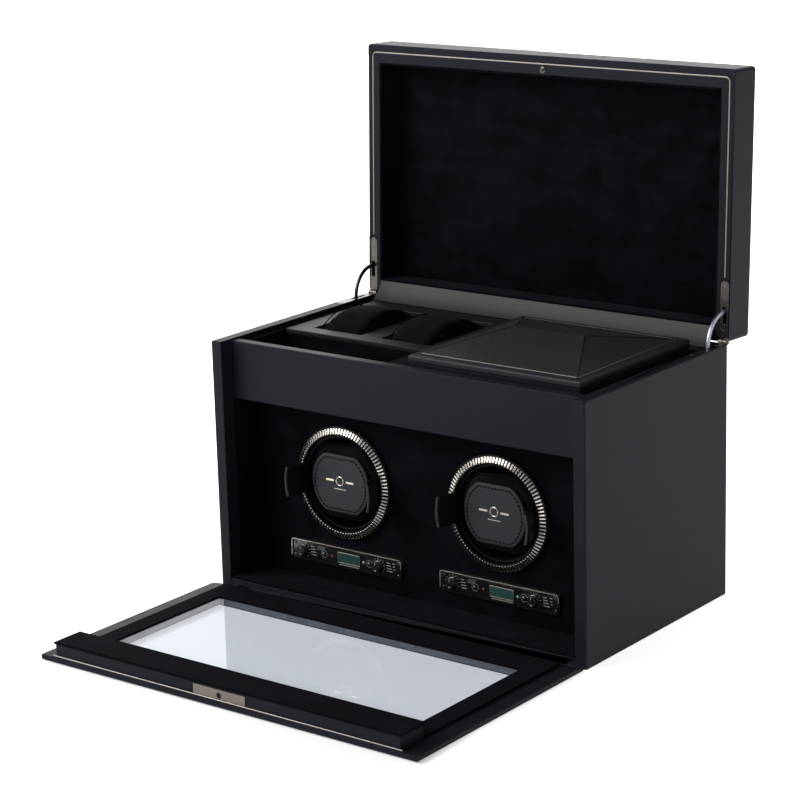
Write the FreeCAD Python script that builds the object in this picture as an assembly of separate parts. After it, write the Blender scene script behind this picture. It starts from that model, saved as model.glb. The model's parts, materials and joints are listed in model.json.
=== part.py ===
import FreeCAD, Part
import math
import os

V = FreeCAD.Vector

# ---- driving dimensions, millimetres; X right, Y back, Z up, y = 0 at the case's front ----
W, D, H = 362.0, 206.0, 209.0            # case outside
T = 10.5                                 # side panel thickness
HX = W / 2                               # half width
IX = HX - T                              # inner face of a side panel
LX = IX - 5.0                            # inner face of the wall lining
BASE_T, FLOOR_Z = 7.2, 9.2
BACK_Y = 196.0                           # inner face of the back panel
FASCIA_Y, FASCIA_T, FASCIA_Z = 13.0, 9.5, (159.0, 207.6)
SHELF_TOP = 165.0
PANEL_Y = 38.0                           # front of the winder panel

# lid, drawn closed and then swung to its resting angle
LID_OPEN = 92.2
PIV_Y, PIV_Z = 208.6, 209.2              # lid hinge axis
LID_HX, LID_Y0, LID_Y1, LID_Z0, LID_H = 180.0, -7.0, 209.0, 209.4, 33.0
RIM_SIDE, RIM_FRONT, RIM_BACK, LID_TOP = 12.0, 15.5, 12.0, 8.5
CATCH_Y = 4.7                            # catch stud in the lid's front rim
LEAF_X = (171.5, 179.5)                  # lid hinge leaf
POCKET_X = (174.0, 177.4)                # pocket for the stay arm
STAY_R, STAY_W, STAY_FROM, STAY_TO = 24.4, 3.0, -8.0, 100.0
KNUCKLE_R, LID_PIN_R = 2.4, 1.0

# door, drawn open as it lies at rest
DOOR_Y, DOOR_Z = -3.9, 1.6               # door hinge axis
DOOR_REACH, DOOR_NEAR = 211.2, 3.4
BOARD_Z = (0.6, 5.2)
FRAME_TOP, LIP_TOP, BLOCK_TOP = 7.6, 7.2, 18.2
CATCH_Z = CATCH_Y + 5.5                  # the stud's hole in the open door
PLATE_SPAN = (7.3, 14.8)                 # catch plate, from bottom to top
FRAME_HX, BLOCK_Y = 166.0, -210.2
WIN_HX, WIN_Y = 148.5, (-161.0, -40.5)
DOOR_HINGE_X, DOOR_KNUCKLE_R = 158.0, 1.45

# winder units
UNIT_X, UNIT_Z = 76.2, 96.0
DRUM_R, DRUM_WALL, DRUM_Y = 39.5, 1.6, (36.0, 92.0)
RING_R = (40.4, 41.6, 47.5)
WING_H = 25.3
CUFF_R, CUFF_HZ = 36.3, 31.0
PLATE_HX, PLATE_HZ, PLATE_Z, PLATE_Y = 56.75, 8.75, 31.25, 36.0
KNOB_U, BUTTON_U, LAMP_U = (-45.0, 33.0), (-23.0, 24.0), (-15.0, 17.8)
LCD_U = 2.7
GEAR_TEETH, PINION_TEETH, MODULE = 60, 12, 1.0
GEAR_Y = (99.0, 105.0)

# tray
PILLOW_X, PILLOW_W, PILLOW_Y = (-122.5, -52.0), 39.0, (93.0, 170.0)
TRAVEL_X, TRAVEL_Y = (-2.5, 157.5), (30.0, 187.0)


# ---- helpers ----
def box(x, y, z):
    return Part.makeBox(x[1] - x[0], y[1] - y[0], z[1] - z[0], V(x[0], y[0], z[0]))


def sided(s, x, y, z):
    """A box given for the right side, mirrored to the left when s is -1."""
    return box(x if s > 0 else (-x[1], -x[0]), y, z)


def rod_y(r, x, z, y):
    return Part.makeCylinder(r, y[1] - y[0], V(x, y[0], z), V(0, 1, 0))


def rod_z(r, x, y, z):
    return Part.makeCylinder(r, z[1] - z[0], V(x, y, z[0]), V(0, 0, 1))


def rod_x(s, r, x, y, z):
    lo = x[0] if s > 0 else -x[1]
    return Part.makeCylinder(r, x[1] - x[0], V(lo, y, z), V(1, 0, 0))


def fillet_where(shape, radius, test):
    edges = [e for e in shape.Edges if test(e)]
    return shape.makeFillet(radius, edges)


def ends(edge):
    a, b = edge.Vertexes[0].Point, edge.Vertexes[-1].Point
    return a, b


def turned(profile, x, z):
    """A solid of revolution about the Y axis through (x, z); profile is a list of (radius, y)."""
    wire = Part.makePolygon([V(x + r, y, z) for r, y in profile + profile[:1]])
    return Part.Face(wire).revolve(V(x, 0, z), V(0, 1, 0), 360)


def to_rest(shape):
    shape.rotate(V(0, PIV_Y, PIV_Z), V(1, 0, 0), -LID_OPEN)
    return shape


def save(name, shape):
    shape = shape.copy()
    shape.translate(V(0, -D / 2, 0))
    shape.exportStep("parts/" + name + ".step")


# ---- case ----
def case_side(s):
    panel = sided(s, (IX, HX), (0, D), (0, H))

    def outer(e):
        a, b = ends(e)
        on_side = abs(abs(a.x) - HX) < 0.01 and abs(abs(b.x) - HX) < 0.01
        return on_side and not (a.z < 0.01 and b.z < 0.01)

    panel = fillet_where(panel, 1.5, outer)
    panel = panel.cut(sided(s, POCKET_X, (178.0, 204.8), (170.0, H + 1)))
    panel = panel.cut(sided(s, LEAF_X, (160.0, D + 1), (H - 1.4, H + 1)))
    return panel


def case_base():
    base = box((-IX, IX), (0.3, BACK_Y), (0, BASE_T))
    for s in (1, -1):
        base = base.cut(door_hinge_leaf(s))
    return base


def case_back():
    back = box((-IX, IX), (BACK_Y, D), (0, H))
    back = back.cut(Part.makeCylinder(5.5, 20, V(118, BACK_Y - 5, 34), V(0, 1, 0)))
    slope = Part.Face(Part.makePolygon([V(-IX - 1, BACK_Y - 1, H + 0.2), V(-IX - 1, BACK_Y - 1, 203),
                                        V(-IX - 1, BACK_Y, 203), V(-IX - 1, 203, H + 0.2),
                                        V(-IX - 1, BACK_Y - 1, H + 0.2)]))
    return back.cut(slope.extrude(V(2 * IX + 2, 0, 0)))


def fascia_rail():
    rail = box((-IX, IX), (FASCIA_Y, FASCIA_Y + FASCIA_T), FASCIA_Z)
    return fillet_where(rail, 1.2, lambda e: all(p.z > FASCIA_Z[1] - 0.01 for p in ends(e))
                        and abs(ends(e)[0].x - ends(e)[1].x) > 10)


def winder_panel():
    panel = box((-IX, IX), (PANEL_Y, PANEL_Y + 3), (BASE_T, FASCIA_Z[0]))
    for s in (1, -1):
        panel = panel.cut(rod_y(DRUM_R + 0.7, s * UNIT_X, UNIT_Z, (PANEL_Y - 1, PANEL_Y + 4)))
        x = s * UNIT_X
        panel = panel.cut(box((x - 50, x + 48), (PANEL_Y - 1, PANEL_Y + 4), (PLATE_Z - 5.5, PLATE_Z + 5.5)))
    return panel


def wall_linings():
    solids = []
    for s in (1, -1):
        solids.append(sided(s, (LX, IX), (FASCIA_Y, PANEL_Y), (FLOOR_Z, FASCIA_Z[0])))
        solids.append(sided(s, (LX, IX), (FASCIA_Y + FASCIA_T, BACK_Y), (SHELF_TOP, 205.0)))
    return Part.makeCompound(solids)


def tray_plate():
    plate = box((-LX, -4.5), (76, BACK_Y), (201.5, 205.5))
    for x in PILLOW_X:
        plate = plate.cut(box((x - 23.5, x + 25.5), (90, 178), (200, 207)))
    return plate


def tray_walls():
    return Part.makeCompound([
        box((-LX, -22), (76, 79), (SHELF_TOP, 201.5)),
        box((-22, -4.5), (FASCIA_Y + FASCIA_T, 76), (SHELF_TOP, 205.5)),
        box((-7, -4.5), (79, BACK_Y), (SHELF_TOP, 201.5))])


def dc_inlet():
    jack = rod_y(5.5, 118, 34, (BACK_Y - 2, D - 0.4)).fuse(rod_y(7.5, 118, 34, (D, D + 1.2)))
    jack = jack.fuse(rod_y(5.5, 118, 34, (D - 0.5, D)))
    jack = jack.cut(rod_y(3.2, 118, 34, (BACK_Y + 1, D + 2)))
    return jack.fuse(rod_y(1.0, 118, 34, (BACK_Y + 0.5, D - 1)))


# ---- lid and its hinges ----
def lid_shell():
    outer = box((-LID_HX, LID_HX), (LID_Y0, LID_Y1), (LID_Z0, LID_Z0 + LID_H))
    top = LID_Z0 + LID_H - 0.01

    def rounded(e):
        a, b = ends(e)
        return (a.z > top and b.z > top) or abs(a.z - b.z) > 10

    shell = fillet_where(outer, 3.0, rounded)
    shell = shell.cut(lid_cavity(0))
    for s in (1, -1):
        shell = shell.cut(sided(s, LEAF_X, (160.0, D + 1), (LID_Z0 - 1, LID_Z0 + 1.4)))
        shell = shell.cut(rod_x(s, KNUCKLE_R + 0.5, (170.8, LID_HX + 1), PIV_Y, PIV_Z))
        shell = shell.cut(sided(s, POCKET_X, (180.8, 194.5), (LID_Z0 - 1, 216.2)))
        eye = stay_eye()
        shell = shell.cut(rod_x(s, 0.95, (POCKET_X[0] - 1.3, POCKET_X[1] + 1.3), eye.y, eye.z))
    for piece in piping_boxes():
        shell = shell.cut(piece)
    return shell.cut(rod_z(2.8, 0, CATCH_Y, (LID_Z0 - 1, LID_Z0 + 1.5)))


def lid_cavity(grow):
    return box((-LID_HX + RIM_SIDE + grow, LID_HX - RIM_SIDE - grow),
               (LID_Y0 + RIM_FRONT + grow, LID_Y1 - RIM_BACK - grow),
               (LID_Z0 - 1, LID_Z0 + LID_H - LID_TOP - grow))


def lid_lining():
    liner = lid_cavity(0).cut(lid_cavity(1.6))
    return liner.cut(box((-200, 200), (-20, 220), (LID_Z0 - 5, LID_Z0 + 0.4)))


def piping_boxes():
    z = (LID_Z0 - 0.25, LID_Z0 + 0.65)
    return [box((-175.7, 175.7), (-1.0, 0.4), z),
            box((-175.7, -174.3), (-1.0, 157.0), z),
            box((174.3, 175.7), (-1.0, 157.0), z)]


def lid_piping():
    a, b, c = piping_boxes()
    return a.fuse([b, c]).removeSplitter()


def lid_catch_pin():
    seat = rod_z(2.8, 0, CATCH_Y, (LID_Z0 - 0.2, LID_Z0 + 1.5))
    return seat.fuse(rod_z(1.2, 0, CATCH_Y, (LID_Z0 - 1.9, LID_Z0)))


def stay_eye():
    a = math.radians(STAY_TO - LID_OPEN)
    return V(0, PIV_Y - STAY_R * math.cos(a), PIV_Z + STAY_R * math.sin(a))


def leaf(s, lid):
    """One leaf of a lid hinge, lying in the rim of the lid or in the top of the case's side."""
    z = (LID_Z0, LID_Z0 + 1.4) if lid else (H - 1.4, H)
    knuckle_x = (175.7, 179.5) if lid else (171.5, 175.3)
    plate = sided(s, LEAF_X, (160.0, D - 0.1), z)
    plate = fillet_where(plate, 3.6, lambda e: abs(ends(e)[0].z - ends(e)[1].z) > 1
                         and ends(e)[0].y < 161)
    plate = plate.fuse(sided(s, knuckle_x, (D - 0.3, PIV_Y - 1.2), z))
    plate = plate.fuse(rod_x(s, KNUCKLE_R, knuckle_x, PIV_Y, PIV_Z))
    slot_y = (180.8, 194.5) if lid else (178.0, 196.0)
    plate = plate.cut(sided(s, POCKET_X, slot_y, (z[0] - 1, z[1] + 1)))
    bore = LID_PIN_R if lid else LID_PIN_R + 0.05
    return plate.cut(rod_x(s, bore, (170, 181), PIV_Y, PIV_Z))


def leaves(lid):
    return Part.makeCompound([leaf(1, lid), leaf(-1, lid)])


def lid_hinge_pins():
    return Part.makeCompound([rod_x(s, LID_PIN_R, (171.0, 180.0), PIV_Y, PIV_Z) for s in (1, -1)])


def stay_arm(s):
    """The curved arm in its resting place, from the eye in the lid down into the case's side."""
    r0, r1 = STAY_R - STAY_W / 2, STAY_R + STAY_W / 2

    def at(r, deg):
        a = math.radians(deg)
        return V(0, PIV_Y - r * math.cos(a), PIV_Z + r * math.sin(a))

    mid = (STAY_FROM + STAY_TO) / 2
    outer = Part.Arc(at(r1, STAY_FROM), at(r1, mid), at(r1, STAY_TO)).toShape()
    inner = Part.Arc(at(r0, STAY_TO), at(r0, mid), at(r0, STAY_FROM)).toShape()
    wire = Part.Wire([outer, Part.makeLine(at(r1, STAY_TO), at(r0, STAY_TO)), inner,
                      Part.makeLine(at(r0, STAY_FROM), at(r1, STAY_FROM))])
    x0 = POCKET_X[0] + 0.8
    arm = Part.Face(wire).extrude(V(1.8, 0, 0))
    arm.translate(V(x0 if s > 0 else -x0 - 1.8, 0, 0))
    eye = at(STAY_R, STAY_TO)
    arm = arm.fuse(rod_x(s, 2.4, (x0, x0 + 1.8), eye.y, eye.z))
    return arm.fuse(rod_x(s, 0.9, (POCKET_X[0] - 1.1, POCKET_X[1] + 1.1), eye.y, eye.z))


# ---- door ----
def door_board():
    board = box((-HX, HX), (-DOOR_REACH, -DOOR_NEAR), BOARD_Z)
    board = fillet_where(board, 1.6, lambda e: ends(e)[0].z < 0.7 and ends(e)[1].z < 0.7
                         and ends(e)[0].y + ends(e)[1].y < -100)
    board = board.fuse(box((-IX + 1, IX - 1), (-DOOR_REACH, BLOCK_Y), (BOARD_Z[1] - 0.2, LIP_TOP)))
    wedge = Part.Face(Part.makePolygon([V(-HX - 1, -13, 5.2), V(-HX - 1, -13, 6), V(-HX - 1, -3, 6),
                                        V(-HX - 1, -3, 2.2), V(-HX - 1, -13, 5.2)]))
    board = board.cut(wedge.extrude(V(W + 2, 0, 0)))
    board = board.cut(box((-WIN_HX, WIN_HX), WIN_Y, (0, 6)))
    board = board.cut(box((-WIN_HX - 1, WIN_HX + 1), (WIN_Y[0] - 1, WIN_Y[1] + 1), (1.1, 3.5)))
    for s in (1, -1):
        x = s * DOOR_HINGE_X
        board = board.cut(box((x - 10.3, x + 10.3), (-5.7, -3), (0, 6)))
        board = board.cut(box((x - 10, x + 10), (-22, -5.6), (1.9, 3.1)))
    return board.cut(door_piping())


def door_frame():
    frame = box((-FRAME_HX, FRAME_HX), (-182.5, -12.8), (BOARD_Z[1], FRAME_TOP))
    return frame.cut(box((-WIN_HX, WIN_HX), WIN_Y, (5, 9)))


def door_block():
    block = box((-FRAME_HX, FRAME_HX), (BLOCK_Y, -182.5), (BOARD_Z[1], BLOCK_TOP))
    block = fillet_where(block, 1.0, lambda e: all(p.z > BLOCK_TOP - 0.1 for p in ends(e)))
    return block.cut([box((-25, 25), (-211, -209.5), PLATE_SPAN), rod_y(2.2, 0, CATCH_Z, (-211, -205)),
                      door_piping()])


def door_piping():
    return box((-168, 168), (-DOOR_REACH, -DOOR_REACH + 1.1), (LIP_TOP - 1.1, LIP_TOP))


def door_catch_plate():
    return box((-25, 25), (-210.6, -209.5), PLATE_SPAN).cut(rod_y(2.2, 0, CATCH_Z, (-212, -205)))


def door_glass():
    pane = box((-WIN_HX + 0.1, WIN_HX - 0.1), (WIN_Y[0] + 0.1, WIN_Y[1] - 0.1), (1.2, 6.4))
    return pane.fuse(box((-WIN_HX - 0.9, WIN_HX + 0.9), (WIN_Y[0] - 0.9, WIN_Y[1] + 0.9), (1.2, 3.4)))


def door_hinge_leaf(s):
    """The case's half of a door hinge: a leaf let into the base and one knuckle."""
    x = (DOOR_HINGE_X - 5, DOOR_HINGE_X + 5)
    web = sided(s, x, (DOOR_Y + 1, 12), (1.0, 2.2))
    knuckle = web.fuse(rod_x(s, DOOR_KNUCKLE_R, x, DOOR_Y, DOOR_Z))
    return knuckle.cut(rod_x(s, 0.65, (x[0] - 1, x[1] + 1), DOOR_Y, DOOR_Z))


def door_hinge_pin(s):
    """The door's half: a leaf in the board, two knuckles and the pin."""
    c = DOOR_HINGE_X
    half = sided(s, (c - 10, c + 10), (-22, -5.5), (1.9, 3.1))
    for x in ((c - 10, c - 5.3), (c + 5.3, c + 10)):
        half = half.fuse(sided(s, x, (-6, DOOR_Y), (1.9, 3.0)))
        half = half.fuse(rod_x(s, DOOR_KNUCKLE_R, x, DOOR_Y, DOOR_Z))
    return half.fuse(rod_x(s, 0.6, (c - 10, c + 10), DOOR_Y, DOOR_Z))


# ---- winder units; s is -1 for the left one ----
def bezel_ring(s):
    r0, r1, r2 = RING_R
    return turned([(r0, PANEL_Y), (r2, PANEL_Y), (r2, 36.0), (r1, 32.0), (r0, 32.0)], s * UNIT_X, UNIT_Z)


def drum(s):
    x = s * UNIT_X
    r0 = DRUM_R - DRUM_WALL
    y0, y1 = DRUM_Y
    cup = turned([(5.0, y1), (DRUM_R, y1), (DRUM_R, y0), (r0, y0), (r0, y1 - 3), (5.0, y1 - 3)], x, UNIT_Z)
    wings = turned([(36.9, 40), (DRUM_R, 40), (DRUM_R, 31.5), (43.9, 14), (41.4, 14), (36.9, 31.5)],
                   x, UNIT_Z)
    wings = wings.common(box((x - 50, x + 50), (10, 42), (UNIT_Z - WING_H / 2, UNIT_Z + WING_H / 2)))
    return cup.fuse(wings.Solids)


def toothed(teeth, r_pitch, shift, x, z, y):
    """A spur gear with straight-sided teeth; a tooth's middle lies at the angle shift."""
    pts = []
    step = 360.0 / teeth
    for k in range(teeth):
        for part, r in ((-0.36, -1.15), (-0.12, 0.75), (0.12, 0.75), (0.36, -1.15)):
            a = math.radians(shift + (k + part) * step)
            pts.append(V(x + (r_pitch + r * MODULE) * math.cos(a), y[0],
                         z + (r_pitch + r * MODULE) * math.sin(a)))
    return Part.Face(Part.makePolygon(pts + pts[:1])).extrude(V(0, y[1] - y[0], 0))


def drum_gear(s):
    x = s * UNIT_X
    gear = toothed(GEAR_TEETH, GEAR_TEETH * MODULE / 2, 180.0 / GEAR_TEETH, x, UNIT_Z, GEAR_Y)
    gear = gear.fuse(rod_y(4.0, x, UNIT_Z, (DRUM_Y[1], 108)))
    return gear.fuse(rod_y(5.0, x, UNIT_Z, (DRUM_Y[1] - 3, DRUM_Y[1] + 1.5)))


def pinion_z():
    return UNIT_Z - (GEAR_TEETH + PINION_TEETH) * MODULE / 2


def pinion(s):
    gear = toothed(PINION_TEETH, PINION_TEETH * MODULE / 2, 0.0, s * UNIT_X, pinion_z(), GEAR_Y)
    return gear.fuse(rod_y(1.5, s * UNIT_X, pinion_z(), (GEAR_Y[0], 117)))


def motor_bracket(s):
    x = s * UNIT_X
    plate = box((x - 47, x + 47), (95, 98), (UNIT_Z - 47, UNIT_Z + 47))
    for dx in (-43, 43):
        for dz in (-43, 43):
            plate = plate.fuse(rod_y(3, x + dx, UNIT_Z + dz, (PANEL_Y + 3, 95)))
    for dx in (-17, 17):
        plate = plate.fuse(rod_y(2.5, x + dx, pinion_z() - 8, (98, 107)))
    plate = plate.fuse(box((x - 21, x + 21), (107, 109), (pinion_z() - 13, pinion_z() + 13)))
    plate = plate.cut(rod_y(4.05, x, UNIT_Z, (90, 100)))
    return plate.cut(rod_y(3.0, x, pinion_z(), (106, 110)))


def motor(s):
    body = rod_y(11.8, s * UNIT_X, pinion_z(), (109, 133))
    body = body.fuse(rod_y(3.0, s * UNIT_X, pinion_z(), (107, 109)))
    return body.cut(rod_y(1.55, s * UNIT_X, pinion_z(), (106, 118)))


def cuff(s):
    x = s * UNIT_X
    body = rod_y(CUFF_R, x, UNIT_Z, (33.5, 84))
    body = body.common(box((x - 50, x + 50), (30, 90), (UNIT_Z - CUFF_HZ, UNIT_Z + CUFF_HZ)))
    return fillet_where(body, 3.0, lambda e: all(abs(p.y - 33.5) < 0.01 for p in ends(e)))


def cuff_patch(s):
    x = s * UNIT_X
    patch = rod_y(29.2, x, UNIT_Z, (31.2, 33.5))
    return patch.common(box((x - 50, x + 50), (30, 40), (UNIT_Z - 24.4, UNIT_Z + 24.4)))


def control_plate(s):
    x = s * UNIT_X
    plate = box((x - PLATE_HX, x + PLATE_HX), (PLATE_Y, PANEL_Y),
                (PLATE_Z - PLATE_HZ, PLATE_Z + PLATE_HZ))
    plate = fillet_where(plate, 3.0, lambda e: abs(ends(e)[0].y - ends(e)[1].y) > 1)
    through = (PLATE_Y - 1, PANEL_Y + 1)
    for u in KNOB_U:
        plate = plate.cut(rod_y(2.05, x + u, PLATE_Z, through))
    for u in BUTTON_U:
        plate = plate.cut(rod_y(1.95, x + u, PLATE_Z, through))
    for u in LAMP_U:
        plate = plate.cut(rod_y(1.2, x + u, PLATE_Z, through))
    for u, w in screw_places():
        plate = plate.cut(rod_y(1.4, x + u, PLATE_Z + w, through))
    return plate.cut(box((x + LCD_U - 10.9, x + LCD_U + 10.9), through, (PLATE_Z - 4.1, PLATE_Z + 4.1)))


def screw_places():
    return [(u, w) for u in (-53.4, 53.4) for w in (-5.4, 5.4)]


def plate_screws():
    return Part.makeCompound([rod_y(1.4, s * UNIT_X + u, PLATE_Z + w, (35.6, PANEL_Y))
                              for s in (-1, 1) for u, w in screw_places()])


def lcd_window(s):
    x = s * UNIT_X + LCD_U
    return box((x - 10.9, x + 10.9), (36.2, PANEL_Y), (PLATE_Z - 4.1, PLATE_Z + 4.1))


def lamp(s, which):
    return rod_y(1.2, s * UNIT_X + LAMP_U[which], PLATE_Z, (35.5, PANEL_Y))


def circuit_board(s):
    x = s * UNIT_X
    return box((x - 55, x + 53), (PANEL_Y + 4, PANEL_Y + 5.6), (PLATE_Z - 7, PLATE_Z + 7))


def knob(s, which):
    x = s * UNIT_X + KNOB_U[which]
    head = rod_y(4.6, x, PLATE_Z, (31.4, 35.9))
    head = fillet_where(head, 0.6, lambda e: all(p.y < 31.5 for p in ends(e)))
    head = head.cut(box((x - 0.4, x + 0.4), (31, 31.9), (PLATE_Z + 1, PLATE_Z + 6)))
    return head.fuse(rod_y(2.0, x, PLATE_Z, (35.9, PANEL_Y + 2.5)))


def button(s, which):
    x = s * UNIT_X + BUTTON_U[which]
    return rod_y(1.9, x, PLATE_Z, (34.4, PANEL_Y + 0.2)).fuse(
        rod_y(2.5, x, PLATE_Z, (PANEL_Y + 0.2, PANEL_Y + 1.2)))


# ---- loose storage pieces ----
def storage_pillow(which):
    x, (y0, y1) = PILLOW_X[which] - PILLOW_W / 2, PILLOW_Y
    z0 = SHELF_TOP + 0.3
    arch = Part.Arc(V(x, y0, 203), V(x, (y0 + y1) / 2, 221), V(x, y1, 203)).toShape()
    wire = Part.Wire([arch, Part.makeLine(V(x, y1, 203), V(x, y1, z0)),
                      Part.makeLine(V(x, y1, z0), V(x, y0, z0)), Part.makeLine(V(x, y0, z0), V(x, y0, 203))])
    return Part.Face(wire).extrude(V(PILLOW_W, 0, 0))


def travel_case_body():
    body = box(TRAVEL_X, TRAVEL_Y, (SHELF_TOP + 0.3, 208.5))
    inner = box((TRAVEL_X[0] + 4, TRAVEL_X[1] - 4), (TRAVEL_Y[0] + 4, TRAVEL_Y[1] - 4), (169.3, 210))
    return body.cut(inner)


def travel_case_lid():
    band = box(TRAVEL_X, TRAVEL_Y, (208.9, 214.0))
    band = fillet_where(band, 1.5, lambda e: all(p.z > 213.9 for p in ends(e)))
    x0, x1, y0, y1 = TRAVEL_X[0] + 7, TRAVEL_X[1] - 7, TRAVEL_Y[0] + 8, TRAVEL_Y[1] - 8
    low = [V(x0, y0, 213.9), V(x1, y0, 213.9), V(x1, y1, 213.9), V(x0, y1, 213.9)]
    ym, xm = (y0 + y1) / 2, (x0 + x1) / 2
    a, b = V(xm - 33, ym, 227), V(xm + 33, ym, 227)
    faces = [[low[0], low[1], b, a], [low[1], low[2], b], [low[2], low[3], a, b], [low[3], low[0], a],
             [low[0], low[3], low[2], low[1]]]
    roof = Part.makeSolid(Part.makeShell([Part.Face(Part.makePolygon(f + f[:1])) for f in faces]))
    return band.fuse(roof)


def build():
    os.makedirs("parts", exist_ok=True)
    save("case_side_left", case_side(-1))
    save("case_side_right", case_side(1))
    save("case_back", case_back())
    save("case_base", case_base())
    save("fascia_rail", fascia_rail())
    save("tray_shelf", box((-IX, IX), (FASCIA_Y + FASCIA_T, BACK_Y), (FASCIA_Z[0], SHELF_TOP)))
    save("winder_panel", winder_panel())
    save("floor_lining", box((-IX, IX), (0.8, PANEL_Y), (BASE_T, FLOOR_Z)))
    save("wall_linings", wall_linings())
    save("tray_plate", tray_plate())
    save("tray_walls", tray_walls())
    save("dc_inlet", dc_inlet())
    save("case_hinge_leaves", leaves(False))
    save("door_hinge_leaves", Part.makeCompound([door_hinge_leaf(1), door_hinge_leaf(-1)]))
    save("bezel_rings", Part.makeCompound([bezel_ring(-1), bezel_ring(1)]))
    save("motors", Part.makeCompound([motor(-1), motor(1)]))
    save("motor_brackets", Part.makeCompound([motor_bracket(-1), motor_bracket(1)]))
    save("control_plates", Part.makeCompound([control_plate(-1), control_plate(1)]))
    save("plate_screws", plate_screws())
    save("lcd_windows", Part.makeCompound([lcd_window(-1), lcd_window(1)]))
    save("circuit_boards", Part.makeCompound([circuit_board(-1), circuit_board(1)]))
    save("lamps_red", Part.makeCompound([lamp(-1, 0), lamp(1, 0)]))
    save("lamps_green", Part.makeCompound([lamp(-1, 1), lamp(1, 1)]))
    for s, side in ((-1, "left"), (1, "right")):
        save("drum_" + side, drum(s))
        save("drum_gear_" + side, drum_gear(s))
        save("pinion_" + side, pinion(s))
        save("cuff_" + side, cuff(s))
        save("cuff_patch_" + side, cuff_patch(s))
        for which, letter in ((0, "a"), (1, "b")):
            save("knob_%s_%s" % (letter, side), knob(s, which))
            save("button_%s_%s" % (letter, side), button(s, which))
        save("stay_" + side, stay_arm(s))
    save("lid_shell", to_rest(lid_shell()))
    save("lid_lining", to_rest(lid_lining()))
    save("lid_piping", to_rest(lid_piping()))
    save("lid_catch_pin", to_rest(lid_catch_pin()))
    save("lid_hinge_leaves", to_rest(leaves(True)))
    save("lid_hinge_pins", lid_hinge_pins())
    save("door_board", door_board())
    save("door_frame", door_frame())
    save("door_block", door_block())
    save("door_glass", door_glass())
    save("door_piping", door_piping())
    save("door_catch_plate", door_catch_plate())
    save("door_hinge_pins", Part.makeCompound([door_hinge_pin(1), door_hinge_pin(-1)]))
    save("storage_pillow_left", storage_pillow(0))
    save("storage_pillow_right", storage_pillow(1))
    save("travel_case_body", travel_case_body())
    save("travel_case_lid", travel_case_lid())


build()
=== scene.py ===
"""Looks of a watch winder box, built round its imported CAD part.

Positions are written in millimetres in the part's drawing frame: X right, Y back from the case's front, Z up
from the floor. The lid is drawn closed and turned to its resting angle; the door is drawn lying open."""

import json
import math

import bmesh
import bpy
from mathutils import Matrix, Vector, noise

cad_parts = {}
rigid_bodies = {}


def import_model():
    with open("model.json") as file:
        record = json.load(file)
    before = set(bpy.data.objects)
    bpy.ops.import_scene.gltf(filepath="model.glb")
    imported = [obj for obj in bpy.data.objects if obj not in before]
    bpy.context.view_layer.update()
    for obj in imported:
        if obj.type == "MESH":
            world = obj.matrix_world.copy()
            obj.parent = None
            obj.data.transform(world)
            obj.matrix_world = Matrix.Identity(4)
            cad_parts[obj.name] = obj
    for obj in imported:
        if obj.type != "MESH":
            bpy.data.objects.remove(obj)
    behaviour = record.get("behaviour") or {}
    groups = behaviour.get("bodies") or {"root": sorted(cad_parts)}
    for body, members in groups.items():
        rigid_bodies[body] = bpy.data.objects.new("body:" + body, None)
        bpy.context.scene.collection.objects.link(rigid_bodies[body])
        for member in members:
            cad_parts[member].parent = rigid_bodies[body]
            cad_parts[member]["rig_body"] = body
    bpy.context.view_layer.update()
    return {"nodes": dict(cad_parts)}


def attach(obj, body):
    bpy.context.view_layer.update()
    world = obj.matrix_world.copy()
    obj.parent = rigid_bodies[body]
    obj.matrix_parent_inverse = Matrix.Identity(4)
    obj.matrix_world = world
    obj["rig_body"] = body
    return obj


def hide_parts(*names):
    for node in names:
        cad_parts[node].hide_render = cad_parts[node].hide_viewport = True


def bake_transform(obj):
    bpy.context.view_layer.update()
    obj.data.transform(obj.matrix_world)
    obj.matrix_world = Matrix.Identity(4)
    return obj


MM = 0.001
DEPTH = 206.0  # of the case, front to back
SIDES = ((-1, "left"), (1, "right"))
LID_OPEN = math.radians(92.2)
LID_PIVOT = Vector((0.0, 208.6, 209.2))
LEAF_X = 175.5  # middle of the lid's hinge leaves, on either side
UNIT_X, UNIT_Z = 76.2, 96.0  # centre of a winder unit, on either side
CUFF, PATCH = (35.3, 30.0), (29.2, 24.4)  # radius, and half the height between the flats
PLATE_Z = 31.25  # middle height of the control plates
KNOBS, BUTTONS = (-45.0, 33.0), (-23.0, 24.0)  # across a control plate, from the unit's centre
PILLOWS = (-122.5, -52.0)  # middles of the storage pillows
TRAVEL_X, TRAVEL_Y = (-2.5, 157.5), (30.0, 187.0)  # sides of the travel case

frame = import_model()
nodes = frame["nodes"]
scene = bpy.context.scene


# ---------------------------------------------------------------- places
def at(x, y, z):
    """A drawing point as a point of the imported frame, in metres."""
    return Vector((x, y - DEPTH / 2, z)) * MM


def on_lid(x, y, z):
    """A point of the closed lid, carried to the lid's resting angle."""
    turn = Matrix.Rotation(-LID_OPEN, 3, "X")
    return at(*(LID_PIVOT + turn @ (Vector((x, y, z)) - LID_PIVOT)))


def on_unit(s, u, y, w):
    """A point of a winder unit, u across and w up from its centre; s is -1 on the left and 1 on the right."""
    return at(s * UNIT_X + u, y, UNIT_Z + w)


def around(s, radius, angle, y):
    """A point of a winder unit at a radius and an angle about its axis."""
    return on_unit(s, radius * math.cos(angle), y, radius * math.sin(angle))


def circle(x, y, z, radius, count):
    """Points of an upright circle that faces the front."""
    turns = [math.tau * k / count for k in range(count)]
    return [at(x + radius * math.cos(a), y, z + radius * math.sin(a)) for a in turns]


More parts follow.
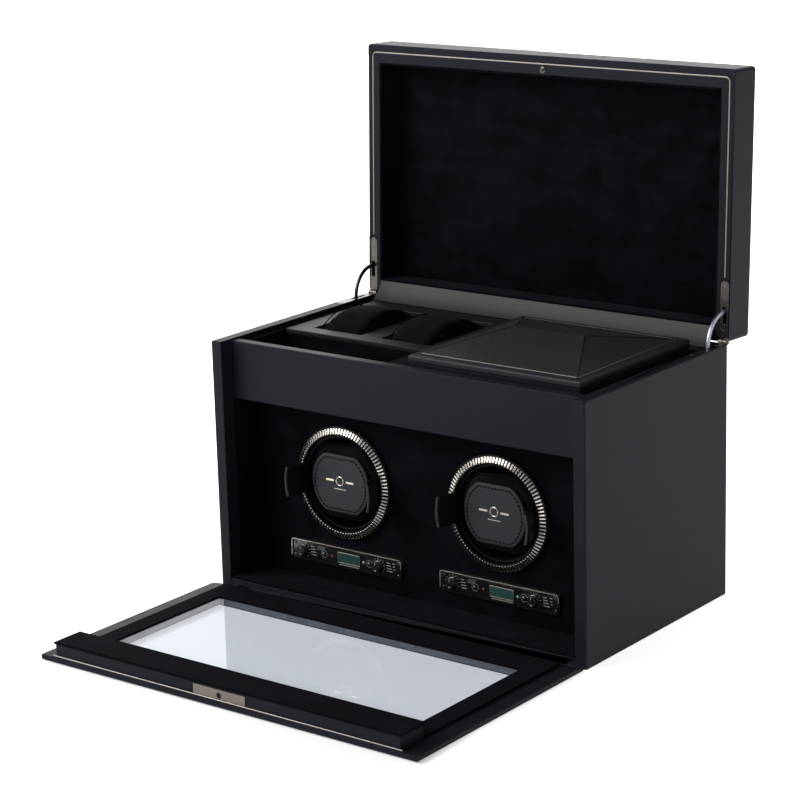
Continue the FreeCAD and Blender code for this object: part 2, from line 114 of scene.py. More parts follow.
# ---------------------------------------------------------------- materials
class Finish:
    """A procedural material: textures in the piece's own space feeding one Principled shader."""

    def __init__(self, name, color, rough, **sockets):
        self.material = bpy.data.materials.new(name)
        self.material.use_nodes = True
        self.tree = self.material.node_tree
        self.tree.nodes.clear()
        self.out = self.node("ShaderNodeOutputMaterial")
        self.shader = self.node("ShaderNodeBsdfPrincipled")
        self.tree.links.new(self.shader.outputs[0], self.out.inputs[0])
        self.shader.inputs["Base Color"].default_value = (*color, 1)
        self.shader.inputs["Roughness"].default_value = rough
        for key, value in sockets.items():
            self.shader.inputs[key.replace("_", " ")].default_value = value
        self.color = color
        self.coords = self.node("ShaderNodeTexCoord").outputs["Object"]
        self.last_normal = None
        self.material.diffuse_color = (*color, 1)

    def node(self, kind, **inputs):
        made = self.tree.nodes.new(kind)
        for key, value in inputs.items():
            self.feed(made.inputs[key.replace("_", " ")], value)
        return made

    def feed(self, socket, value):
        if isinstance(value, bpy.types.NodeSocket):
            self.tree.links.new(value, socket)
        else:
            socket.default_value = value

    def stretched(self, factors):
        return self.node("ShaderNodeMapping", Vector=self.coords, Scale=factors).outputs[0]

    def noise(self, scale, detail=4.0, rough=0.55, coords=None, distortion=0.0):
        made = self.node("ShaderNodeTexNoise", Vector=coords or self.coords, Scale=scale, Detail=detail,
                         Roughness=rough, Distortion=distortion)
        return made.outputs["Fac"]

    def cracks(self, scale):
        """Distance to the edge of the nearest of many small cells."""
        made = self.node("ShaderNodeTexVoronoi", Vector=self.coords, Scale=scale)
        made.feature = "DISTANCE_TO_EDGE"
        return made.outputs["Distance"]

    def math(self, operation, a, b):
        made = self.node("ShaderNodeMath")
        made.operation = operation
        self.feed(made.inputs[0], a)
        self.feed(made.inputs[1], b)
        return made.outputs[0]

    def mixed(self, a, share_a, b, share_b):
        """A share of a plus a share of b."""
        return self.math("ADD", self.math("MULTIPLY", a, share_a), self.math("MULTIPLY", b, share_b))

    def spread(self, fac, low, high, start=0.3, stop=0.7):
        """fac from start to stop, carried to low..high."""
        made = self.node("ShaderNodeMapRange", Value=fac)
        for key, value in (("From Min", start), ("From Max", stop), ("To Min", low), ("To Max", high)):
            made.inputs[key].default_value = value
        return made.outputs[0]

    def blend(self, fac, a, b):
        made = self.node("ShaderNodeMix")
        made.data_type = "RGBA"
        self.feed(made.inputs[0], fac)
        for socket, value in ((made.inputs[6], a), (made.inputs[7], b)):
            self.feed(socket, value if isinstance(value, bpy.types.NodeSocket) else (*value, 1))
        return made.outputs[2]

    def shade(self, fac, darker, lighter):
        """Colour varies about the base colour, from darker to lighter times it."""
        self.feed(self.shader.inputs["Base Color"],
                  self.blend(fac, tuple(c * darker for c in self.color), tuple(c * lighter for c in self.color)))

    def gloss(self, fac, low, high):
        self.feed(self.shader.inputs["Roughness"], self.spread(fac, low, high))

    def bump(self, height, distance, strength):
        """Bumps distance metres high, on top of the bumps fed before."""
        made = self.node("ShaderNodeBump", Height=height, Distance=distance, Strength=strength)
        if self.last_normal:
            self.feed(made.inputs["Normal"], self.last_normal)
        self.last_normal = made.outputs[0]
        self.feed(self.shader.inputs["Normal"], self.last_normal)


def leather(name, color, rough, grain, depth, shine):
    """Grained leather: grain is the scale of its creases, depth their height in metres."""
    f = Finish(name, color, rough, Specular_IOR_Level=shine)
    clouds = f.noise(22.0, 3.0)
    fine = f.noise(900.0, 3.0)
    f.shade(f.spread(f.mixed(clouds, 0.6, fine, 0.4), 0, 1), 0.9, 1.12)
    f.gloss(f.mixed(clouds, 0.4, fine, 0.6), rough - 0.04, rough + 0.05)
    f.bump(f.spread(f.cracks(grain), 0.0, 1.0, 0.0, 0.35), depth, 0.75)
    f.bump(f.noise(grain * 0.35, 4.0), depth * 1.6, 0.5)
    return f.material


def suede(name, color, lift):
    """Suede with brushed marks; lift is how much lighter than its colour the marks get."""
    f = Finish(name, color, 0.96, Specular_IOR_Level=0.04, Sheen_Weight=0.02, Sheen_Roughness=0.5,
               Sheen_Tint=(0.6, 0.62, 0.85, 1))
    brushed = f.noise(34.0, 5.0, 0.62, distortion=0.6)
    streaks = f.noise(60.0, 3.0, coords=f.stretched((0.35, 1.0, 1.7)))
    nap = f.noise(2600.0, 2.0)
    marks = f.mixed(brushed, 0.65, streaks, 0.35)
    f.shade(f.spread(f.mixed(marks, 0.85, nap, 0.15), 0, 1, 0.38, 0.64), 0.4, lift)
    f.gloss(marks, 0.9, 1.0)
    f.bump(nap, 0.00012, 0.8)
    f.bump(marks, 0.0006, 0.35)
    return f.material


def metal(name, color, rough, grain=(1, 1, 40), spots=0.12):
    """Brushed metal: grain is how fine the lines are along each axis. With spots of 0.05 or less it is polished."""
    f = Finish(name, color, rough, Metallic=1.0)
    lines = f.noise(420.0, 2.0, coords=f.stretched(grain))
    wear = f.noise(90.0, 4.0)
    f.shade(f.spread(wear, 0, 1), 1 - spots, 1 + spots * 0.6)
    f.gloss(f.mixed(lines, 0.6, wear, 0.4), max(0.03, rough - 0.06), rough + 0.09)
    if spots > 0.05:
        f.bump(lines, 0.00002, 0.5)
    return f.material


def plastic(name, color, rough, texture=700.0, depth=0.00003, **sockets):
    """Moulded or coated plastic: texture is the scale of its fine bumps, depth their height in metres."""
    f = Finish(name, color, rough, **sockets)
    haze = f.noise(45.0, 4.0)
    f.shade(f.spread(haze, 0, 1), 0.85, 1.18)
    f.gloss(haze, max(0.02, rough - 0.05), rough + 0.08)
    f.bump(f.noise(texture, 3.0), depth, 0.6)
    return f.material


def cord_finish(name, color):
    """Twisted metallic thread, for the piping."""
    f = Finish(name, color, 0.38, Metallic=0.75)
    twist = f.node("ShaderNodeTexWave", Vector=f.coords, Scale=520.0, Distortion=1.5)
    twist.bands_direction = "DIAGONAL"
    f.shade(f.spread(twist.outputs["Fac"], 0, 1, 0.1, 0.9), 0.72, 1.15)
    f.gloss(f.noise(300.0), 0.3, 0.46)
    f.bump(twist.outputs["Fac"], 0.00008, 0.8)
    return f.material


def glass_finish():
    """Thin window glass: clear, with a mirror share that follows the angle, and a faint smear."""
    f = Finish("glass", (1, 1, 1), 0.03, Metallic=1.0)
    f.gloss(f.noise(14.0, 1.0), 0.02, 0.035)
    clear = f.node("ShaderNodeBsdfTransparent", Color=(0.75, 0.765, 0.785, 1))
    share = f.node("ShaderNodeLayerWeight", Blend=0.035)
    mix = f.node("ShaderNodeMixShader", Fac=share.outputs["Facing"])
    f.feed(mix.inputs[1], clear.outputs[0])
    f.feed(mix.inputs[2], f.shader.outputs[0])
    f.feed(f.out.inputs[0], mix.outputs[0])
    return f.material


def display_finish():
    f = Finish("display", (0.010, 0.030, 0.026), 0.12, Emission_Color=(0.03, 0.10, 0.085, 1),
               Emission_Strength=0.2)
    f.shade(f.spread(f.noise(160.0, 3.0), 0, 1), 0.75, 1.2)
    f.gloss(f.noise(60.0), 0.08, 0.18)
    f.bump(f.noise(900.0), 0.00001, 0.5)
    return f.material


LOOKS = {
    "leather": leather("leather", (0.0079, 0.0082, 0.0126), 0.43, 1300.0, 0.00009, 0.07),
    "pebble": leather("pebble", (0.0215, 0.0215, 0.0215), 0.46, 620.0, 0.00034, 0.17),
    "lining": leather("lining", (0.0205, 0.0212, 0.0216), 0.5, 1100.0, 0.00006, 0.25),
    "tray": leather("tray", (0.009, 0.009, 0.0105), 0.46, 1300.0, 0.00008, 0.15),
    "patch": leather("patch", (0.0165, 0.017, 0.0215), 0.44, 1200.0, 0.00008, 0.2),
    "suede": suede("suede", (0.0013, 0.0012, 0.0022), 2.6),
    "cushion": suede("cushion", (0.0029, 0.0029, 0.0032), 2.2),
    "ring_metal": metal("ring_metal", (0.63, 0.59, 0.54), 0.19, (1, 1, 1), 0.05),
    "gunmetal": metal("gunmetal", (0.20, 0.175, 0.15), 0.3),
    "hinge": metal("hinge", (0.085, 0.076, 0.068), 0.27),
    "screw": metal("screw", (0.10, 0.10, 0.10), 0.22, (1, 1, 1)),
    "foil": metal("foil", (0.62, 0.56, 0.46), 0.3, (1, 1, 1)),
    "steel": metal("steel", (0.62, 0.62, 0.63), 0.24),
    "brass": metal("brass", (0.75, 0.56, 0.28), 0.25),
    "piping": cord_finish("piping", (0.27, 0.245, 0.22)),
    "black_gloss": plastic("black_gloss", (0.006, 0.006, 0.007), 0.1, 500.0, 0.00001, Coat_Weight=0.4,
                           Coat_Roughness=0.04),
    "black_matte": plastic("black_matte", (0.0022, 0.0022, 0.0024), 0.5, 1500.0, 0.00005, Specular_IOR_Level=0.12),
    "nylon": plastic("nylon", (0.68, 0.67, 0.62), 0.45),
    "motor_can": metal("motor_can", (0.55, 0.55, 0.53), 0.3, (1, 30, 1)),
    "lcd": display_finish(),
    "board": plastic("board", (0.02, 0.10, 0.045), 0.4, 300.0),
    "red": plastic("red", (0.16, 0.012, 0.02), 0.12, Emission_Color=(0.5, 0.01, 0.02, 1),
                   Emission_Strength=0.05),
    "green": plastic("green", (0.16, 0.30, 0.24), 0.12, Emission_Color=(0.1, 0.4, 0.3, 1),
                     Emission_Strength=0.10),
    "glass": glass_finish(),
    "knob": plastic("knob", (0.007, 0.007, 0.008), 0.16, 500.0, 0.00001, Coat_Weight=0.5, Coat_Roughness=0.05),
    "thread": plastic("thread", (0.0012, 0.0012, 0.0015), 0.7, 1500.0, Specular_IOR_Level=0.1),
    # The welt's light colour is a painted highlight, for the light caught by the fold round the roof's foot.
    "welt": leather("welt", (0.036, 0.037, 0.041), 0.4, 1300.0, 0.00005, 0.6),
    # The two stays are one metal: the left one's dark colour is painted shade and the right one's light colour is
    # painted light.
    "stay_painted_shade": metal("stay_painted_shade", (0.035, 0.035, 0.038), 0.28),
    "stay_painted_light": metal("stay_painted_light", (0.30, 0.31, 0.37), 0.4),
    "print": plastic("print", (0.22, 0.21, 0.195), 0.5, 900.0),
    "trim": metal("trim", (0.50, 0.44, 0.38), 0.28, (40, 1, 1)),
    # The pane's edge colours are painted reflection: light blue-grey for the floor mirrored in the glass's end faces,
    # darker for the case's shade mirrored in its long sides.
    "pane_edge": plastic("pane_edge", (0.19, 0.205, 0.245), 0.25, 60.0, 0.00001),
    "pane_back": plastic("pane_back", (0.085, 0.09, 0.11), 0.25, 60.0, 0.00001),
}


# ---------------------------------------------------------------- mesh helpers
def piece(name, verts, faces, look, body, slot, *stands_for, sharp=38):
    """A visible piece from points in metres; stands_for names the CAD nodes it replaces."""
    mesh = bpy.data.meshes.new(name)
    mesh.from_pydata([tuple(v) for v in verts], [], faces)
    mesh.validate()
    bm = bmesh.new()
    bm.from_mesh(mesh)
    bmesh.ops.recalc_face_normals(bm, faces=bm.faces)
    bm.to_mesh(mesh)
    bm.free()
    return show(name, mesh, look, body, slot, *stands_for, sharp=sharp)


def show(name, mesh, look, body, slot, *stands_for, sharp=38):
    """Puts a mesh on a CAD body with its material, smooth but for edges turned by more than sharp degrees."""
    obj = bpy.data.objects.new(name, mesh)
    scene.collection.objects.link(obj)
    mesh.materials.clear()
    mesh.materials.append(LOOKS[look])
    mesh.shade_smooth()
    mesh.set_sharp_from_angle(angle=math.radians(sharp))
    normals = obj.modifiers.new("normals", "WEIGHTED_NORMAL")
    normals.keep_sharp = True
    if body:
        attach(obj, body)
    if stands_for:
        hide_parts(*stands_for)
    return obj


def clean_copy(node, cuts=()):
    """A CAD node's mesh as a bmesh, welded and with its flat faces joined. A face with a hole can't be joined whole,
    so the mesh is first cut through the middle of each hole: cuts holds ("x" or "y" or "z", millimetres)."""
    source = nodes[node].data
    bm = bmesh.new()
    verts = [bm.verts.new(v.co) for v in source.vertices]
    for face in source.polygons:
        if len(set(face.vertices)) > 2:
            bm.faces.new([verts[i] for i in face.vertices])
    bmesh.ops.remove_doubles(bm, verts=bm.verts, dist=3e-6)
    for axis, place in cuts:
        normal = Vector([float(axis == a) for a in "xyz"])
        made = bmesh.ops.bisect_plane(bm, geom=bm.verts[:] + bm.edges[:] + bm.faces[:], dist=1e-7,
                                      plane_co=normal * at(place, place, place).dot(normal), plane_no=normal)
        for item in made["geom_cut"]:
            if isinstance(item, bmesh.types.BMEdge):
                item.seam = True
    bmesh.ops.dissolve_limit(bm, angle_limit=math.radians(0.6), verts=bm.verts, edges=bm.edges, delimit={"SEAM"})
    return bm


def soften(bm, width, segments):
    """Rounds every edge that turns by more than 40 degrees."""
    least = math.radians(40)
    edges = [e for e in bm.edges if len(e.link_faces) == 2 and e.calc_face_angle() > least]
    bmesh.ops.bevel(bm, geom=edges, offset=width * MM, segments=segments, profile=0.5, affect="EDGES",
                    clamp_overlap=False)


def dress(node, look, width, slot=None, segments=2, cuts=()):
    """Shows a CAD node as the same shape with rounded edges."""
    bm = clean_copy(node, cuts)
    soften(bm, width, segments)
    mesh = bpy.data.meshes.new(node + "_skin")
    bm.to_mesh(mesh)
    bm.free()
    return show(node + "_skin", mesh, look, nodes[node]["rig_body"], slot or look, node)


def finish_node(node, look):
    """A CAD node whose shape is right: it only gets a better material."""
    mesh = nodes[node].data
    mesh.materials.clear()
    mesh.materials.append(LOOKS[look])


def joined(parts):
    """Several (verts, faces) as one."""
    verts, faces = [], []
    for some, their in parts:
        base = len(verts)
        verts += some
        faces += [[base + i for i in f] for f in their]
    return verts, faces


def taken(bm, place=at):
    """A bmesh drawn in millimetres as (verts, faces). The bmesh is freed."""
    bm.verts.index_update()
    made = [place(*v.co) for v in bm.verts], [[v.index for v in f.verts] for f in bm.faces]
    bm.free()
    return made


def skin(rows, n, closed=False):
    """Faces over rows of n points, where each row is a loop. The rows join end to end, or both ends get a cap."""
    faces = []
    for k in range(rows if closed else rows - 1):
        a, b = k * n, (k + 1) % rows * n
        faces += [[a + j, a + (j + 1) % n, b + (j + 1) % n, b + j] for j in range(n)]
    if not closed:
        faces += [list(range(n)), list(range((rows - 1) * n, rows * n))]
    return faces


def slab(x, y, z, place=at, bevel=0.3):
    """A box with rounded edges, as (verts, faces)."""
    bm = bmesh.new()
    bmesh.ops.create_cube(bm, size=1.0)
    for v in bm.verts:
        v.co = Vector((x[0] + (v.co.x + 0.5) * (x[1] - x[0]), y[0] + (v.co.y + 0.5) * (y[1] - y[0]),
                       z[0] + (v.co.z + 0.5) * (z[1] - z[0])))
    if bevel:
        bmesh.ops.bevel(bm, geom=bm.edges[:], offset=bevel, segments=2, profile=0.5, affect="EDGES")
    return taken(bm, place)


def turned(profile, x, z, steps, place=at, wave=None):
    """A solid turned about the Y axis through (x, z); profile is (radius, y) from the axis round to the axis.
    wave(angle, place in the profile) adds to the radius."""
    n, verts, faces = len(profile), [], []
    for k in range(steps):
        a = math.tau * k / steps
        for j, (r, y) in enumerate(profile):
            grown = r + (wave(a, j) if wave else 0.0)
            verts.append(place(x + grown * math.cos(a), y, z + grown * math.sin(a)))
    for k in range(steps):
        a, b = k * n, (k + 1) % steps * n
        faces += [[a + j, a + j + 1, b + j + 1, b + j] for j in range(n - 1)]
    first = [k * n for k in range(steps)]
    return verts, faces + [first, [k + n - 1 for k in first][::-1]]


def tube(points, radius, steps, closed=False):
    """A round bead along points, all in metres."""
    aside = Vector((0.31, 0.17, 0.93))  # a direction that no bead runs in
    count, verts = len(points), []
    for k, p in enumerate(points):
        before = points[k - 1] if k or closed else p
        after = points[(k + 1) % count] if k < count - 1 or closed else p
        along = (after - before).normalized()
        side = along.cross(aside).normalized()
        up = side.cross(along)
        for j in range(steps):
            a = math.tau * j / steps
            verts.append(p + (side * math.cos(a) + up * math.sin(a)) * radius)
    return verts, skin(count, steps, closed)


# ---------------------------------------------------------------- camera, floor and light
def look_at(obj, place, target, roll=0.0):
    forward = (Vector(target) - Vector(place)).normalized()
    right = forward.cross(Vector((0, 0, 1))).normalized()
    up = right.cross(forward)
    c, s = math.cos(roll), math.sin(roll)
    right, up = right * c + up * s, up * c - right * s
    obj.matrix_world = Matrix.Translation(place) @ Matrix((right, up, -forward)).transposed().to_4x4()


def studio():
    camera = bpy.data.objects.new("camera", bpy.data.cameras.new("camera"))
    camera.data.lens, camera.data.sensor_width = 115.18, 36.0
    camera.data.clip_start, camera.data.clip_end = 0.05, 60
    scene.collection.objects.link(camera)
    scene.camera = camera
    look_at(camera, (1.1748, -1.6090, 0.6978), (-0.0059, -0.0805, 0.1786), math.radians(-1.58))

    floor = bpy.data.objects.new("floor", bpy.data.meshes.new("floor"))
    reach = 14.0
    floor.data.from_pydata([(-reach, -reach, 0), (reach, -reach, 0), (reach, reach, 0), (-reach, reach, 0)],
                           [], [[0, 1, 2, 3]])
    # The paper glows least just in front of the door, and more with the distance from there.
    paper = Finish("paper", (0.93, 0.93, 0.93), 0.9, Specular_IOR_Level=0.1, Emission_Color=(1, 1, 1, 1))
    near = paper.node("ShaderNodeVectorMath", Vector=paper.stretched((0.35, 1.6, 1.0)))
    near.inputs[1].default_value = (0.0, -0.576, 0.0)
    near.operation = "DISTANCE"
    glow = paper.math("ADD", paper.spread(near.outputs["Value"], 0.24, 0.66, 0.09, 0.2),
                      paper.spread(near.outputs["Value"], 0.0, 0.14, 0.4, 0.9))
    paper.feed(paper.shader.inputs["Emission Strength"], glow)
    paper.gloss(paper.noise(3.0), 0.86, 0.94)
    floor.data.materials.append(paper.material)
    scene.collection.objects.link(floor)

    world = bpy.data.worlds.new("studio")
    scene.world = world
    world.use_nodes = True
    sky, strength = world.node_tree.nodes["Background"].inputs[:2]
    sky.default_value, strength.default_value = (0.93, 0.96, 1.0, 1), 0.32

    for name, place, size, power, color in (
            ("key", (-1.65, -1.75, 1.65), 1.8, 82.0, (1, 1, 0.99)),
            ("fill", (2.4, -0.9, 1.0), 1.4, 5.0, (0.92, 0.95, 1)),
            ("back", (0.3, 2.2, 2.2), 1.8, 20.0, (1, 1, 1)),
            ("backdrop", (-1.9, 2.6, 0.85), 2.6, 55.0, (1, 1, 1))):
        light = bpy.data.objects.new(name, bpy.data.lights.new(name, "AREA"))
        light.data.size, light.data.energy, light.data.color = size, power, color
        scene.collection.objects.link(light)
        look_at(light, place, (0.0, 0.0, 0.12))
    scene.view_settings.view_transform = "Standard"
    scene.view_settings.look = "None"


def pad(x, y, z, out, place=at, edge=1.2, crown=0.3, step=6.0):
    """A thin padded board in a box: rounded edges and a slightly uneven soft face towards out, such as "-z"."""
    spans = [x, y, z]
    w = "xyz".index(out[1])
    u, v = [k for k in range(3) if k != w]
    back, front = spans[w] if out[0] == "+" else spans[w][::-1]
    outward = math.copysign(1, front - back)

    def lines(low, high):
        """Places across the board: close together at both edges and step apart between them."""
        inner = max(2, round((high - low - 2 * edge) / step))
        near = [edge * t for t in (0.0, 0.1, 0.3, 0.6, 1.0)]
        middle = [low + edge + (high - low - 2 * edge) * k / inner for k in range(1, inner)]
        return [low + d for d in near] + middle + [high - d for d in near[::-1]]

    def bulge(t, low, high):
        """From 0 at both edges to 1 halfway."""
        return 1 - (2 * (t - low) / (high - low) - 1) ** 4

    us, vs = lines(*spans[u]), lines(*spans[v])
    rows, cols, verts = len(us), len(vs), []
    for a in us:
        for b in vs:
            inset = min(a - us[0], us[-1] - a, b - vs[0], vs[-1] - b)
            rise = math.sqrt(max(0.0, 1 - (1 - min(inset / edge, 1)) ** 2))
            swell = bulge(a, us[0], us[-1]) * bulge(b, vs[0], vs[-1])
            uneven = noise.noise(Vector((a * 0.03, b * 0.03, 0.0))) * 0.25
            co = [0.0, 0.0, 0.0]
            co[u], co[v] = a, b
            co[w] = back + (front - back) * (0.35 + 0.65 * rise) + outward * swell * (crown + uneven) * rise
            verts.append(co)
    faces = []
    for i in range(rows - 1):
        faces += [[k, k + 1, k + cols + 1, k + cols] for k in range(i * cols, (i + 1) * cols - 1)]
    rim = list(range(cols)) + [i * cols + cols - 1 for i in range(1, rows)]
    rim += [(rows - 1) * cols + j for j in range(cols - 2, -1, -1)] + [i * cols for i in range(rows - 2, 0, -1)]
    base = len(verts)
    for k in rim:
        co = list(verts[k])
        co[w] = back
        verts.append(co)
    for k in range(len(rim)):
        n = (k + 1) % len(rim)
        faces.append([rim[k], rim[n], base + n, base + k])
    faces.append([base + k for k in range(len(rim))])
    return [place(*co) for co in verts], faces


def screw_head(place, radius, height, turn):
    """A slotted cheese head in local coordinates: x and z across, y from 0 at its seat to -height at its face."""
    slot = 0.22  # half the slot's width as a share of the radius
    parts = []
    for half in (-1, 1):
        outline = []
        for k in range(13):
            a = math.asin(slot) + (math.pi - 2 * math.asin(slot)) * k / 12
            outline.append((radius * math.cos(a), radius * math.sin(a) * half))
        verts = [(x, y, z) for y in (0.0, -height * 0.7) for x, z in outline]
        verts += [(x * 0.86, -height, half * max(abs(z) * 0.86, slot * radius)) for x, z in outline]
        parts.append((verts, skin(3, len(outline))))
    turns = [math.tau * k / 24 for k in range(24)]
    disc = [(radius * 0.97 * math.cos(a), y, radius * 0.97 * math.sin(a)) for y in (0.0, -height * 0.45)
            for a in turns]
    verts, faces = joined(parts + [(disc, skin(2, len(turns)))])
    c, s = math.cos(turn), math.sin(turn)
    return [place(x * c - z * s, y, x * s + z * c) for x, y, z in verts], faces


def leaf_screws(name, body, place, seat, rise, turn, ys):
    """The screws of two hinge leaves. seat is the leaves' height and rise is -1 where their faces look up."""
    heads = []
    for s, _ in SIDES:
        for k, y in enumerate(ys):
            spot = lambda a, b, c, s=s, y=y: place(s * LEAF_X + a, y + c, seat + rise * b)
            heads.append(screw_head(spot, 1.7, 0.3, turn + k * s))
    piece(name, *joined(heads), "screw", body, "gunmetal")


# ---------------------------------------------------------------- soft pieces
def puff(obj, cap, voxel, keep):
    """Inflates a closed soft piece by cloth simulation. No point moves further than cap, in millimetres, and keep
    holds each point inside its place."""
    pressure, frames = 4.0, 18
    remesh = obj.modifiers.new("remesh", "REMESH")
    remesh.mode, remesh.voxel_size = "VOXEL", voxel * MM
    apply_modifier(obj, remesh)
    start = [v.co.copy() for v in obj.data.vertices]
    cloth = obj.modifiers.new("cloth", "CLOTH")
    settings = cloth.settings
    settings.use_pressure, settings.uniform_pressure_force = True, pressure
    settings.effector_weights.gravity = 0.0
    settings.quality = 4
    cloth.point_cache.frame_end = frames
    for k in range(1, frames + 1):
        scene.frame_set(k)
    puffed = obj.evaluated_get(bpy.context.evaluated_depsgraph_get()).data
    moved = [v.co.copy() for v in puffed.vertices]
    obj.modifiers.remove(cloth)
    scene.frame_set(1)
    for vert, a, b in zip(obj.data.vertices, start, moved):
        step = b - a
        if step.length > cap * MM:
            step = step.normalized() * cap * MM
        vert.co = keep(a + step) if keep else a + step
    obj.data.update()


def apply_modifier(obj, modifier):
    """Bakes the object's only modifier into its mesh."""
    made = bpy.data.meshes.new_from_object(obj.evaluated_get(bpy.context.evaluated_depsgraph_get()))
    obj.modifiers.remove(modifier)
    obj.data = made


def cushion(name, verts, faces, look, body, slot, stands_for, cap, fill, keep=None, voxel=3.2):
    """A closed soft piece: simulated and subdivided once."""
    obj = piece(name, verts, faces, look, None, slot)
    obj.modifiers.clear()
    puff(obj, cap, voxel, keep)
    smooth = obj.modifiers.new("smooth", "SUBSURF")
    smooth.levels = smooth.render_levels = 1
    apply_modifier(obj, smooth)
    obj.data.materials.clear()
    obj.data.materials.append(LOOKS[look])
    obj.data.shade_smooth()
    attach(obj, body)
    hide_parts(stands_for)


# ---------------------------------------------------------------- case
def case_pieces():
    for name, width in (("case_side_left", 0.8), ("case_side_right", 0.8), ("case_back", 0.8), ("case_base", 0.6),
                        ("fascia_rail", 1.6)):
        dress(name, "leather", width, segments=3)
    openings = [("x", x) for x in (*PILLOWS, sum(TRAVEL_X) / 2, -85.0)] + [("y", 134.0), ("y", 50.0)]
    dress("tray_plate", "tray", 0.8, slot="leather", cuts=openings)
    for name in ("tray_shelf", "tray_walls"):
        dress(name, "suede", 0.45, cuts=openings)
    holes = [("x", s * UNIT_X + u) for s, _ in SIDES for u in (0.0, *KNOBS, *BUTTONS)]
    dress("winder_panel", "suede", 0.45, cuts=holes)
    verts, faces = pad((-170.4, 170.4), (0.9, 37.9), (7.2, 9.2), "+z", edge=1.0, crown=0.1)
    piece("floor_suede", verts, faces, "suede", "case", "suede", "floor_lining")
    parts = []
    for out, x in (("+x", (-170.5, -165.5)), ("-x", (165.5, 170.5))):
        parts.append(pad(x, (13.1, 37.9), (9.3, 158.9), out, crown=0.1))
        parts.append(pad(x, (22.7, 195.9), (165.1, 205.0), out, crown=0.1))
    piece("wall_suede", *joined(parts), "suede", "case", "suede", "wall_linings")
    dress("dc_inlet", "black_matte", 0.25)
    dress("case_hinge_leaves", "hinge", 0.2, slot="gunmetal")
    dress("door_hinge_leaves", "hinge", 0.15, slot="gunmetal")
    leaf_screws("case_leaf_screws", "case", at, 208.8, -1, 0.5, (164.8, 172.5, 201.0))


def inner_works():
    for name, look in (("motors", "motor_can"), ("motor_brackets", "black_matte"), ("circuit_boards", "board")):
        finish_node(name, look)
    for _, side in SIDES:
        finish_node("drum_gear_" + side, "nylon")
        finish_node("pinion_" + side, "brass")


# ---------------------------------------------------------------- winder units
def knurled_ring(s):
    """The bezel's polished bars: separate narrow ridges on a cone."""
    bars = 96
    across = ((0.03, 0.55), (0.11, 0.03), (0.31, 0.0), (0.51, 0.03), (0.59, 0.55))  # share of a pitch, sunk by
    profile = ((41.3, 32.5), (41.5, 32.05), (41.9, 32.0), (46.0, 33.5), (46.4, 33.9), (46.4, 35.0))  # radius, y
    m, n = len(across), len(profile)
    faces = []
    for c in range(m - 1):
        faces += [[k, k + 1, k + n + 1, k + n] for k in range(c * n, (c + 1) * n - 1)]
    faces += [list(range(n)), list(range((m - 1) * n, m * n))[::-1],
              [c * n + n - 1 for c in range(m)] + [c * n for c in range(m)][::-1]]
    parts = []
    for k in range(bars):
        verts = []
        for share, sunk in across:
            a = math.tau * (k + share) / bars
            verts += [around(s, r, a, y + sunk) for r, y in profile]
        parts.append((verts, faces))
    return joined(parts)


def ring_core_painted_shade(s):
    """The body of the bezel that shows between its bars, in black: painted shade for the grooves between the bars and
    the dark gap round the ring's outer edge.
    """
    profile = [(40.4, 38.0), (40.4, 32.75), (40.6, 32.5), (41.4, 32.5), (46.5, 34.1), (46.9, 34.6), (47.5, 34.9),
               (47.5, 38.0)]
    steps = 144
    verts = [around(s, r, math.tau * k / steps, y) for k in range(steps) for r, y in profile]
    return verts, skin(steps, len(profile), closed=True)


def cut_circle(a, radius, half):
    """Radius at angle a of a circle cut flat above and below, its corners slightly rounded."""
    rounding = 2.2
    flat = half / max(abs(math.sin(a)), 1e-6)
    if abs(flat - radius) < rounding:
        t = (flat - radius + rounding) / (2 * rounding)
        return min(flat, radius) - rounding * 0.5 * t * (1 - t)
    return min(flat, radius)


def cuff_shape(s):
    """The cuff: a drum-shaped pillow, cut flat above and below, with a rounded front edge."""
    rows = [(0.0, 34.6), (0.5, 34.5), (0.84, 34.7), (0.94, 35.8), (0.985, 37.8), (1.0, 40.5), (1.0, 60.0), (1.0, 77.0),
            (0.97, 81.0), (0.9, 82.6), (0.5, 83.0), (0.0, 83.0)]  # share of the outline, y
    steps = 72
    verts = [on_unit(s, 0.0, rows[0][1], 0.0)]
    for t, y in rows[1:-1]:
        for k in range(steps):
            a = math.tau * k / steps
            verts.append(around(s, t * cut_circle(a, *CUFF), a, y))
    verts.append(on_unit(s, 0.0, rows[-1][1], 0.0))
    faces = [[0, 1 + (k + 1) % steps, 1 + k] for k in range(steps)]
    for j in range(len(rows) - 3):
        a, b = 1 + j * steps, 1 + (j + 1) * steps
        faces += [[a + k, a + (k + 1) % steps, b + (k + 1) % steps, b + k] for k in range(steps)]
    last = 1 + (len(rows) - 3) * steps
    faces += [[last + k, last + (k + 1) % steps, len(verts) - 1] for k in range(steps)]
    return verts, faces


def patch_shape(s):
    """The leather patch on a cuff: a turned edge and an almost flat face."""
    rows = [(-1.4, 33.6), (0.0, 33.4), (0.0, 32.3), (-0.35, 31.6), (-1.2, 31.25), (-2.3, 31.22), (-2.9, 31.24),
            (-3.6, 31.24), (-4.3, 31.22), (-8.0, 31.18), (-18.0, 31.1)]  # in from the outline, y
    steps = 120
    verts = []
    for inset, y in rows:
        for k in range(steps):
            a = math.tau * k / steps
            verts.append(around(s, cut_circle(a, *PATCH) + inset, a, y))
    return verts, skin(len(rows), steps)


